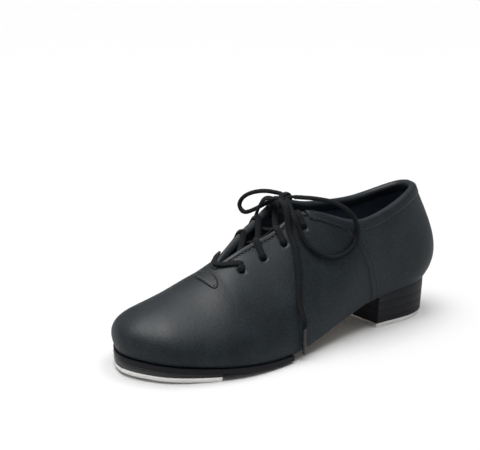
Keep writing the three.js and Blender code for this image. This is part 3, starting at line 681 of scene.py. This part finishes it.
tree.links.new(speckled.outputs["Vector"], shader.inputs["Base Color"])
gloss = add_node(
    tree, "ShaderNodeMapRange", {"From Min": 0.3, "From Max": 0.7, "To Min": 0.48, "To Max": 0.6},
    {"Value": cloud.outputs["Fac"]},
)
tree.links.new(gloss.outputs["Result"], shader.inputs["Roughness"])
pores = add_node(tree, "ShaderNodeTexVoronoi", {"Scale": 950}, {"Vector": where}, feature="DISTANCE_TO_EDGE")
crease = add_node(tree, "ShaderNodeTexNoise", {"Scale": 420, "Detail": 5}, {"Vector": where})
grain = add_node(
    tree, "ShaderNodeMath", None, {0: pores.outputs["Distance"], 1: crease.outputs["Fac"]}, operation="ADD"
)
bump = add_node(tree, "ShaderNodeBump", {"Strength": 0.45, "Distance": 0.0003}, {"Height": grain.outputs[0]})
tree.links.new(bump.outputs["Normal"], shader.inputs["Normal"])

upper = wall_sheet("upper", 0, LEATHER, upper_leather, lap=LAP)
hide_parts("vamp_toe", "vamp_flex", "quarter_outer", "quarter_inner", "heel_quarter")
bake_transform(upper)

# ---------- Lining
# One skin of the brushed nylon inside the whole upper, behind the stiffeners, with the same eyelets punched
# through it. It is glued at the sole and sewn in under the binding.
lining = wall_sheet("lining", LINING_DEPTH, LINING, lining_cloth, per_station=12, rows=34)
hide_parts("lining_toe", "lining_flex", "lining_outer", "lining_inner", "heel_lining")
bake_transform(lining)

# ---------- Topline binding and facing edges
# A strip of the same leather folded over the cut edge of the foot opening and stitched through; down the
# facings the leather is only turned in, so the band there is no wider than the edge.
FACING_TOP = 6
STRIP = 0.5
STAND_OFF = 0.1


def grid_piece(name, rows, material):
    """A piece from rows of points in millimetres, all rows of one length."""
    points = np.array(rows)
    faces = grid_faces(points.shape[0], points.shape[1])
    return mesh_piece(name, to_frame(points.reshape(-1, 3)), faces, material)


def edge_band(name, start, end, steps, out, inside, rise, raised=0.45):
    """A folded strip over the cut edge: out and inside are its widths, rise its height over the edge."""
    rows = []
    for u in np.linspace(start, end, steps + 1):
        low_out, low_in = set_back(u, out), set_back(u, inside)
        n = normal(u, 1.0)
        up = face(u, 1.0) - face(u, 0.97)
        up = up / np.linalg.norm(up)
        centre = face(u, 1.0) - n * INNER_DEPTH / 2
        half = INNER_DEPTH / 2 + STAND_OFF + raised
        row = [
            off_face(u, v, STAND_OFF + raised * smooth(q / 0.25))
            for q, v in zip(np.linspace(0, 1, 7)[:-1], np.linspace(low_out, 1, 7)[:-1])
        ]
        turn = np.linspace(0, math.pi, 11)
        row += [centre + n * half * math.cos(t) + up * rise * math.sin(t) for t in turn]
        row += [off_face(u, v, -INNER_DEPTH - STRIP) for v in np.linspace(1, low_in, 6)[1:]]
        rows.append(row)
    made = grid_piece(name, rows, upper_leather)
    apply_modifier(made, "SOLIDIFY", thickness=STRIP * MM, offset=-1)
    tidy(made)
    made.data.shade_smooth()
    return made


binding = edge_band("binding", -FACING_TOP + 0.05, FACING_TOP - 0.05, 220, 4.6, 4.0, 2.5)
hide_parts("topline_binding")
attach(binding, "rear")
for name, start, end in (
    ("facing_edge_outer", FACING_TOP - 0.03, THROAT - 0.04),
    ("facing_edge_inner", LAST - THROAT + 0.04, LAST - FACING_TOP + 0.03),
):
    turned = edge_band(name, start, end, 70, 1.8, 1.0, 0.8, raised=0.15)
    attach(turned, "rear")

# ---------- Throat bar
# A leaf-shaped patch of the upper leather stitched across the foot of the facings, where the lacing
# strains, so that the opening cannot tear down the vamp.
LEAF_HALF, LEAF_WIDE, LEAF_OFFSET, LEAF_AHEAD = 12.5, 4.4, 4, 6.9
LEAF_THICK, LEAF_HEIGHT, RIDGE_STEP = 0.9, 1.15, 21


def leaf():
    """Rows of points over the patch, domed in the middle and thin at its rim."""
    rows = []
    for w in np.linspace(1, -1, 33):
        half = LEAF_WIDE * math.sqrt(max(0.0, 1 - w * w))
        row = []
        off = w * LEAF_HALF + LEAF_OFFSET
        for q in np.linspace(-1, 1, 11):
            s = THROAT + (LEAF_AHEAD + q * half) / RIDGE_STEP
            u = s if off >= 0 else LAST - s
            v = set_back(u, abs(off)) if abs(off) > 0.2 else 1.0
            dome = 1 - 0.75 * max(abs(q), abs(w)) ** 6
            row.append(off_face(u, v, LEAF_HEIGHT * dome))
        rows.append(row)
    return rows


throat_leaf = grid_piece("throat_leaf", leaf(), upper_leather)
tidy(throat_leaf)
apply_modifier(throat_leaf, "SOLIDIFY", thickness=LEAF_THICK * MM, offset=-1)
tidy(throat_leaf)
throat_leaf.data.shade_smooth()
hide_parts("throat_bar")
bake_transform(throat_leaf)

# ---------- Tongue and its lining
# A curved strip of the upper leather, lined with the brushed nylon and sewn to the vamp below the throat.
# It lies loose under the facings, widens upwards and ends in a round tip.
TONGUE_BASE, TONGUE_TIP, TONGUE_DROP, TIP_SLOPE, TIP_ROUND = 190, 102, 11.4, 0.42, 7
BASE_HALF, HALF_GAIN, BASE_BOW, BOW_GAIN = 10.5, 9, 13, 12


def throat_height(x):
    s = np.linspace(FACING_TOP, CROWN, 400)
    line = top_point(s)
    corner = line[0]
    beyond = corner[2] + (corner[0] - x) * TIP_SLOPE
    return np.where(x < corner[0], beyond, np.interp(x, line[:, 0], line[:, 2]))


def tongue_sheet(name, depth, thickness, material):
    t = np.linspace(0, 1, 61)[:, None]
    q = np.linspace(1, -1, 25)[None, :]
    x = TONGUE_BASE + (TONGUE_TIP - TONGUE_BASE) * t + 0 * q
    half = BASE_HALF + HALF_GAIN * t
    x = x + TIP_ROUND * np.abs(q) ** 3 * smooth((t - 0.86) / 0.14)
    y = half * q
    bow = BASE_BOW + BOW_GAIN * t
    z = throat_height(x) - TONGUE_DROP - depth - y * y / (2 * bow)
    made = grid_piece(name, np.stack([x, y + RIDGE_Y, z], -1), material)
    tidy(made)
    if sum(f.normal.z for f in made.data.polygons) < 0:
        made.data.flip_normals()
    apply_modifier(made, "SOLIDIFY", thickness=thickness * MM, offset=-1)
    tidy(made)
    made.data.shade_smooth()
    return made


for name, depth, thickness, material, node, slot in (
    ("tongue_leather", 0.0, 1.0, upper_leather, "tongue", "upper_leather"),
    ("tongue_back", 1.05, 0.8, lining_cloth, "tongue_lining", "lining_cloth"),
):
    strip = tongue_sheet(name, depth, thickness, material)
    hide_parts(node)
    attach(strip, "tongue")

# ---------- Stitching
# Bonded nylon thread, 0.5 mm, 3 mm to the stitch: two rows down each side seam, one under the binding,
# one along each facing and one round the throat bar. Each stitch is a short rounded bead that dips in.
# Bonded nylon: near black with a soft even gloss.
thread = new_material("bonded nylon thread", Base_Color=linear("#17191c"), Roughness=0.55)[0]
STITCH, PITCH, THREAD = 2.1, 3.0, 0.34


def stitch_row(line, ups):
    """Bead points and faces along a line in millimetres, with the surface normal at each of its points."""
    step = np.linalg.norm(np.diff(line, axis=0), axis=1)
    run = np.concatenate([[0], np.cumsum(step)])
    points, faces = [], []
    for start in np.arange(0.4, run[-1] - STITCH, PITCH):
        at = lambda d, rows: np.array([np.interp(d, run, rows[:, c]) for c in range(3)])
        a, b = at(start, line), at(start + STITCH, line)
        up = at(start + STITCH / 2, ups)
        up = up / np.linalg.norm(up)
        along = (b - a) / np.linalg.norm(b - a)
        side = np.cross(up, along)
        base = len(points)
        for q in np.linspace(0, 1, 5):
            radius = THREAD * math.sqrt(max(0.03, 1 - (2 * q - 1) ** 4))
            centre = a + (b - a) * q + up * (0.22 * math.sin(math.pi * q) - 0.08)
            for t in np.arange(6) * math.pi / 3:
                points.append(centre + radius * (side * math.cos(t) + up * math.sin(t)))
        for i in range(4):
            for j in range(6):
                k = (j + 1) % 6
                faces.append((base + i * 6 + j, base + i * 6 + k, base + i * 6 + 6 + k, base + i * 6 + 6 + j))
        faces.append(tuple(base + j for j in reversed(range(6))))
        faces.append(tuple(base + 24 + j for j in range(6)))
    return points, faces


def stitching(name, rows, body):
    """Rows of stitches at stations, heights on the wall and a distance off it, riding a body or bending."""
    points, faces = [], []
    for u, v, height in rows:
        u, v = np.broadcast_arrays(np.asarray(u, float), np.asarray(v, float))
        p, f = stitch_row(off_face(u, v, np.full(u.shape, height)), normal(u, v))
        faces += [tuple(i + len(points) for i in g) for g in f]
        points += p
    made = mesh_piece(name, to_frame(points), faces, thread)
    tidy(made)
    if body:
        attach(made, body)
    else:
        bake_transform(made)


v = np.linspace(0.03, 0.9, 60)
seam_rows = []
for lag in (0.04, 0.23):
    for flip in (False, True):
        s = side_seam(v) - lag
        seam_rows.append((LAST - s if flip else s, v, 0.62))
stitching("side_seam_stitches", seam_rows, "rear")

u = np.linspace(-FACING_TOP + 0.12, FACING_TOP - 0.12, 260)
stitching("binding_stitches", [(u, [set_back(a, 3.7) for a in u], 0.6)], "rear")
s = np.linspace(FACING_TOP + 0.05, THROAT - 0.15, 90)
facing_rows = [(s, [set_back(a, 2.6) for a in s], 0.08)]
facing_rows.append((LAST - s, [set_back(LAST - a, 2.6) for a in s], 0.08))
stitching("facing_stitches", facing_rows, "rear")
RING_IN, RING_IN_ACROSS = 1.7, 1.3
ring = []
for t in np.linspace(0, 2 * math.pi, 49):
    reach = (LEAF_HALF - RING_IN) * math.sin(t) + LEAF_OFFSET
    s = THROAT + (LEAF_AHEAD + (LEAF_WIDE - RING_IN_ACROSS) * math.cos(t)) / RIDGE_STEP
    u = s if reach >= 0 else LAST - s
    ring.append((u, set_back(u, abs(reach)) if abs(reach) > 0.2 else 1.0))
ring = np.array(ring)
stitching("throat_stitches", [(ring[:, 0], ring[:, 1], 1.05)], None)

# ---------- Lace
# One flat-oval braid, about 4 by 2 mm, dull black polyester: through the four pairs of eyelets, tied in a bow
# over the top of the facings, its two ends hanging down the sides to their moulded tips.
LACE_WIDE, LACE_THICK = 3.8, 2.0
KNOT = np.array([121.0, RIDGE_Y, 96.5])
KNOT_HALF = np.array([7.0, 6.5, 5.0])

# Sixteen-carrier braid: the chevrons of its face repeat every 1.5 mm along the lace, as relief whose troughs
# are painted darker as painted shade between the carriers; the thread's filaments give a dull broken sheen.
lace_braid, tree, shader = new_material("braided polyester lace", Roughness=0.85, Specular_IOR_Level=0.1)
shader.inputs["Sheen Weight"].default_value = 0.03
shader.inputs["Sheen Roughness"].default_value = 0.4
along = add_node(tree, "ShaderNodeUVMap").outputs["UV"]
split = add_node(tree, "ShaderNodeSeparateXYZ", None, {"Vector": along})
fold = add_node(tree, "ShaderNodeMath", {1: 0.5}, {0: split.outputs["Y"]}, operation="PINGPONG")
slant = add_node(tree, "ShaderNodeMath", {1: 3.6}, {0: fold.outputs[0]}, operation="MULTIPLY")
BRAID_REPEAT = 1.5
chevron = add_node(
    tree, "ShaderNodeMath", None, {0: split.outputs["X"], 1: slant.outputs[0]}, operation="ADD"
)
turns = add_node(
    tree, "ShaderNodeMath", {1: 2 * math.pi / BRAID_REPEAT}, {0: chevron.outputs[0]}, operation="MULTIPLY"
)
wave = add_node(tree, "ShaderNodeMath", None, {0: turns.outputs[0]}, operation="SINE")
ramp = add_node(
    tree, "ShaderNodeMapRange", {"From Min": -1.0, "From Max": 1.0}, {"Value": wave.outputs[0]}
)
# Dark end of this ramp sits in the troughs of the relief: painted shade there, not a second colour of thread.
shade = add_node(tree, "ShaderNodeValToRGB", None, {"Fac": ramp.outputs["Result"]})
shade.color_ramp.elements[0].color = linear("#080a0c")
shade.color_ramp.elements[1].color = linear("#171b1f")
tree.links.new(shade.outputs["Color"], shader.inputs["Base Color"])
bump = add_node(
    tree, "ShaderNodeBump", {"Strength": 0.6, "Distance": 0.0003}, {"Height": ramp.outputs["Result"]}
)
tree.links.new(bump.outputs["Normal"], shader.inputs["Normal"])


def unit(p):
    return p / np.linalg.norm(p, axis=-1, keepdims=True)


def lace_strand(controls, ups, spacing=0.9, wide=LACE_WIDE, thick=LACE_THICK):
    """A flat-oval strand through control points, its flat side facing the ups: points, faces, UVs, path."""
    controls = np.array(controls, float)
    count = len(controls)
    curve = spline(controls, False)
    dense = np.linspace(0, count - 1, 60 * count)
    line = curve(dense)
    for _ in range(2):
        line[1:-1] = 0.25 * line[:-2] + 0.5 * line[1:-1] + 0.25 * line[2:]
    run = np.concatenate([[0], np.cumsum(np.linalg.norm(np.diff(line, axis=0), axis=1))])
    n = max(8, int(run[-1] / spacing))
    even = np.linspace(0, run[-1], n + 1)
    path = np.stack([np.interp(even, run, line[:, c]) for c in range(3)], -1)
    tangent = unit(np.gradient(path, axis=0))
    place = np.interp(even, run, dense)
    at = np.arange(count)
    heading = unit(curve(np.minimum(at + 0.02, count - 1)) - curve(np.maximum(at - 0.02, 0)))
    sideways = unit(np.cross(heading, np.array(ups, float)) + 1e-6)
    for i in range(1, count):
        if sideways[i] @ sideways[i - 1] < 0:
            sideways[i] = -sideways[i]
    across = np.stack([np.interp(place, at, sideways[:, c]) for c in range(3)], -1)
    across = unit(across - tangent * np.sum(across * tangent, -1, keepdims=True))
    over = np.cross(tangent, across)
    sides = 14
    angle = np.arange(sides) * 2 * math.pi / sides
    ring = (
        across[:, None] * (wide / 2 * np.cos(angle))[None, :, None]
        + over[:, None] * (thick / 2 * np.sin(angle))[None, :, None]
    )
    points = (path[:, None] + ring).reshape(-1, 3)
    faces, uvs = [], []
    for i in range(n):
        for j in range(sides):
            k = (j + 1) % sides
            faces.append((i * sides + j, i * sides + k, (i + 1) * sides + k, (i + 1) * sides + j))
            uvs.append([
                (even[i], j / sides), (even[i], (j + 1) / sides),
                (even[i + 1], (j + 1) / sides), (even[i + 1], j / sides),
            ])
    for start in (0, n * sides):
        faces.append(tuple(start + j for j in (range(sides) if start else reversed(range(sides)))))
        uvs.append([(even[0], 0.5)] * sides)
    return points, faces, uvs, path


def lace_piece(name, strands):
    points, faces, uvs = [], [], []
    for p, f, w, _ in strands:
        faces += [tuple(i + len(points) for i in g) for g in f]
        points += list(p)
        uvs += w
    made = mesh_piece(name, to_frame(points), faces, lace_braid)
    layer = made.data.uv_layers.new(name="UVMap")
    flat = [c for corner in uvs for uv in corner for c in uv]
    layer.data.foreach_set("uv", flat)
    bm = bmesh.new()
    bm.from_mesh(made.data)
    bmesh.ops.recalc_face_normals(bm, faces=bm.faces)
    bm.to_mesh(made.data)
    bm.free()
    return made


def lacing_route():
    """Points and flat-side directions of the lace from the knot, through all eight eyelets and back."""
    under = INNER_DEPTH + LACE_THICK / 2 + 0.35
    lie = LACE_THICK / 2 + 0.15
    fold = INNER_DEPTH / 2 + 0.3 + lie

    def through(k, side):
        point, up, edge = eyelet(k, side)
        inwards = unit(edge - point)
        middle = edge - up * INNER_DEPTH / 2
        return [
            (middle + inwards * (0.9 + lie), inwards),
            (middle + inwards * 0.72 * (0.9 + lie) + up * 0.72 * fold, inwards + up),
            (middle - inwards * 0.4 + up * fold, up),
            (point * 0.55 + edge * 0.45 + up * (lie + 0.1), up),
            (point + inwards * 1.5 + up * (lie - 0.1), up),
            (point + inwards * 0.2 - up * 0.8, up * 0.4 - inwards),
            (point - up * 2.9, -inwards),
            (point + inwards * 1.4 - up * (under + 0.6), -up),
            (point * 0.4 + edge * 0.6 - up * (under + 0.8), -up),
        ]

    def half(side):
        rows = through(0, side)[3:]
        for k in range(1, 4):
            p = top_point(np.array((EYELET_STATIONS[k - 1] + EYELET_STATIONS[k]) / 2))
            middle = np.array([p[0], RIDGE_Y, p[2] - 6 + side * (LACE_THICK / 2 + 0.2)])
            rows.append((middle, np.array([0, 0, 1.0])))
            rows += through(k, -side if k % 2 else side)
        leave = KNOT + np.array([2.5, -side * 1.9, -5])
        forward = np.array([1.0, 0, 0])
        rows += [(leave + np.array([1, -side * 0.8, -5]), forward), (leave, forward)]
        return rows

    centre = top_point(np.array(THROAT - 0.12)) * np.array([1, 0, 1]) + np.array([0, RIDGE_Y, lie + 1.0])
    rows = half(-1)[::-1] + [(centre, np.array([0, 0, 1.0]))] + half(1)
    return [r[0] for r in rows], [r[1] for r in rows]


lacing = lace_piece("laced_braid", [lace_strand(*lacing_route(), spacing=0.7, wide=4.3, thick=1.9)])
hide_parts("lacing")
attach(lacing, "rear")


def on_leather(x, height, side, lift=1.8):
    """A point just off the leather at a place along the shoe and a height on one side, and its normal."""
    s = np.linspace(1.0, CROWN, 240)[:, None]
    w = np.linspace(0.02, 1, 160)[None, :]
    u = s if side > 0 else LAST - s
    p = face(u, w)
    miss = (p[..., 0] - x) ** 2 + (p[..., 2] - height) ** 2
    i, j = np.unravel_index(np.argmin(miss), miss.shape)
    return off_face(u[i, 0], w[0, j], lift), normal(u[i, 0], w[0, j])


def free_lace(name, node, rows, wide, thick, **cord):
    """A free stretch of the lace, swept along its route."""
    strand = lace_strand(*zip(*rows), wide=wide, thick=thick)
    made = lace_piece(name, [strand])
    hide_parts(node)
    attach(made, "rear")
    path = to_frame(strand[3])


def leave_knot(x, y, z):
    d = unit(np.array([x, y, z], float))
    return KNOT + d * (1 / np.linalg.norm(d / KNOT_HALF) + 0.9)


UP = np.array([0, 0, 1.0])
exits = {
    "loop_outer": [leave_knot(-0.3, 1, 0.25), leave_knot(0.55, 1, -0.1)],
    "loop_inner": [leave_knot(-0.2, -1, 0.2), leave_knot(0.5, -1, -0.1)],
    "end_outer": [leave_knot(1, 0.35, 0)],
    "end_inner": [leave_knot(1, -0.35, 0)],
}
outer_loop = [(exits["loop_outer"][0], UP), (np.array([111, 17, 98.6]), UP), (np.array([101, 28, 95]), UP)]
outer_loop.append((np.array([92.5, 33, 85.5]), np.array([0, 1.0, 0.3])))
outer_loop += [
    on_leather(x, z, 1)
    for x, z in ((87.5, 74), (91, 66), (99.5, 60.8), (110, 60), (118.5, 64.5), (124, 70.5))
]
outer_loop += [(np.array(p), np.array([0, 0.7, 0.7])) for p in ((127.3, 17.5, 81), (128.5, 14, 88))]
outer_loop += [(exits["loop_outer"][1], UP)]
inner_loop = [(exits["loop_inner"][0], UP)]
inner_loop += [
    (np.array(p, float), UP)
    for p in ((126, -22, 98.5), (131, -34, 94), (133, -39, 87), (133, -36, 83), (131, -29, 84))
]
inner_loop += [(exits["loop_inner"][1], UP)]
LOOP_WIDE, LOOP_THICK = 3.6, 2.9
for name, rows in (("loop_outer", outer_loop), ("loop_inner", inner_loop)):
    free_lace(
        "lace_" + name.replace("loop", "bow"), "lace_" + name, rows, LOOP_WIDE, LOOP_THICK,
        far_end="object", lay="loose",
    )

# Lace tips: clear acetate film wrapped and welded round the braid, dyed black and glossy.
tip_plastic, tree, shader = new_material("black acetate film", Base_Color=linear("#101214"), Roughness=0.25)
where = add_node(tree, "ShaderNodeTexCoord").outputs["Object"]
ribs = add_node(tree, "ShaderNodeTexNoise", {"Scale": 600, "Detail": 2}, {"Vector": where})
bump = add_node(
    tree, "ShaderNodeBump", {"Strength": 0.2, "Distance": 0.0002}, {"Height": ribs.outputs["Fac"]}
)
tree.links.new(bump.outputs["Normal"], shader.inputs["Normal"])
END_WIDE, END_THICK = 4.3, 2.1
for name, side in (("outer", 1), ("inner", -1)):
    low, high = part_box("aglet_" + name)
    bpy.ops.mesh.primitive_cylinder_add(
        radius=(high.x - low.x) / 2, depth=high.z - low.z, vertices=24, location=(low + high) / 2
    )
    tip = bpy.context.object
    tip.name = "lace_tip_" + name
    tip.data.materials.append(tip_plastic)
    bpy.ops.object.transform_apply(location=True)
    apply_modifier(tip, "BEVEL", width=0.5 * MM, segments=3, limit_method="ANGLE", angle_limit=SHARP)
    bpy.ops.object.shade_smooth_by_angle(angle=SMOOTHED)
    tip.select_set(False)
    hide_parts("aglet_" + name)
    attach(tip, "rear")
    end_point = np.array([(low.x + high.x) / 2, (low.y + high.y) / 2, high.z + 0.0003]) / MM - SHIFT
    rows = [(exits["end_" + name][0], UP)]
    rows += [(np.array([131, 8 if side > 0 else -16, 94.0]), np.array([1.0, 0, 1]))]
    rows += [
        on_leather(x, z, side)
        for x, z in ((131, 79), (132, 70.5), (134, 62), (136.5, 53), (139.5, 44), (142, 35))
    ]
    rows += [(end_point + UP * 5, np.array([0, side, 0.0])), (end_point, np.array([0, side, 0.0]))]
    free_lace(
        "lace_tail_" + name, "lace_end_" + name, rows, END_WIDE, END_THICK,
        far_end="fitting", lay="hanging", with_pieces=[tip],
    )

# The bow's knot: strands from all six directions under one turn of the lace, drawn tight round a core of
# the folded loops.
core = [KNOT + np.array([0.2, y, 0.3 - 0.03 * y * y]) for y in (-3.6, -1.2, 1.2, 3.6)]
strands = [lace_strand(core, [UP] * len(core), wide=5.6, thick=4.6)]
for ends in exits.values():
    for end in ends:
        out = end - KNOT
        way = [KNOT + out * 0.1, KNOT + out * 0.55 + UP * 0.5, end + out * 0.03]
        strands.append(lace_strand(way, [UP] * len(way)))
turn = [
    KNOT + np.array([3.3 * math.cos(t), 0.5 * math.sin(t) - 0.6 + t * 0.16, 2.9 * math.sin(t) + 0.3])
    for t in np.linspace(0, 2 * math.pi * 1.05, 17)
]
strands.append(lace_strand(turn, [unit(p - KNOT) for p in turn], wide=4.4, thick=1.9))
knot = lace_piece("bow_knot", strands)
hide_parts("lace_knot")
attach(knot, "rear")

bpy.ops.object.select_all(action="DESELECT")
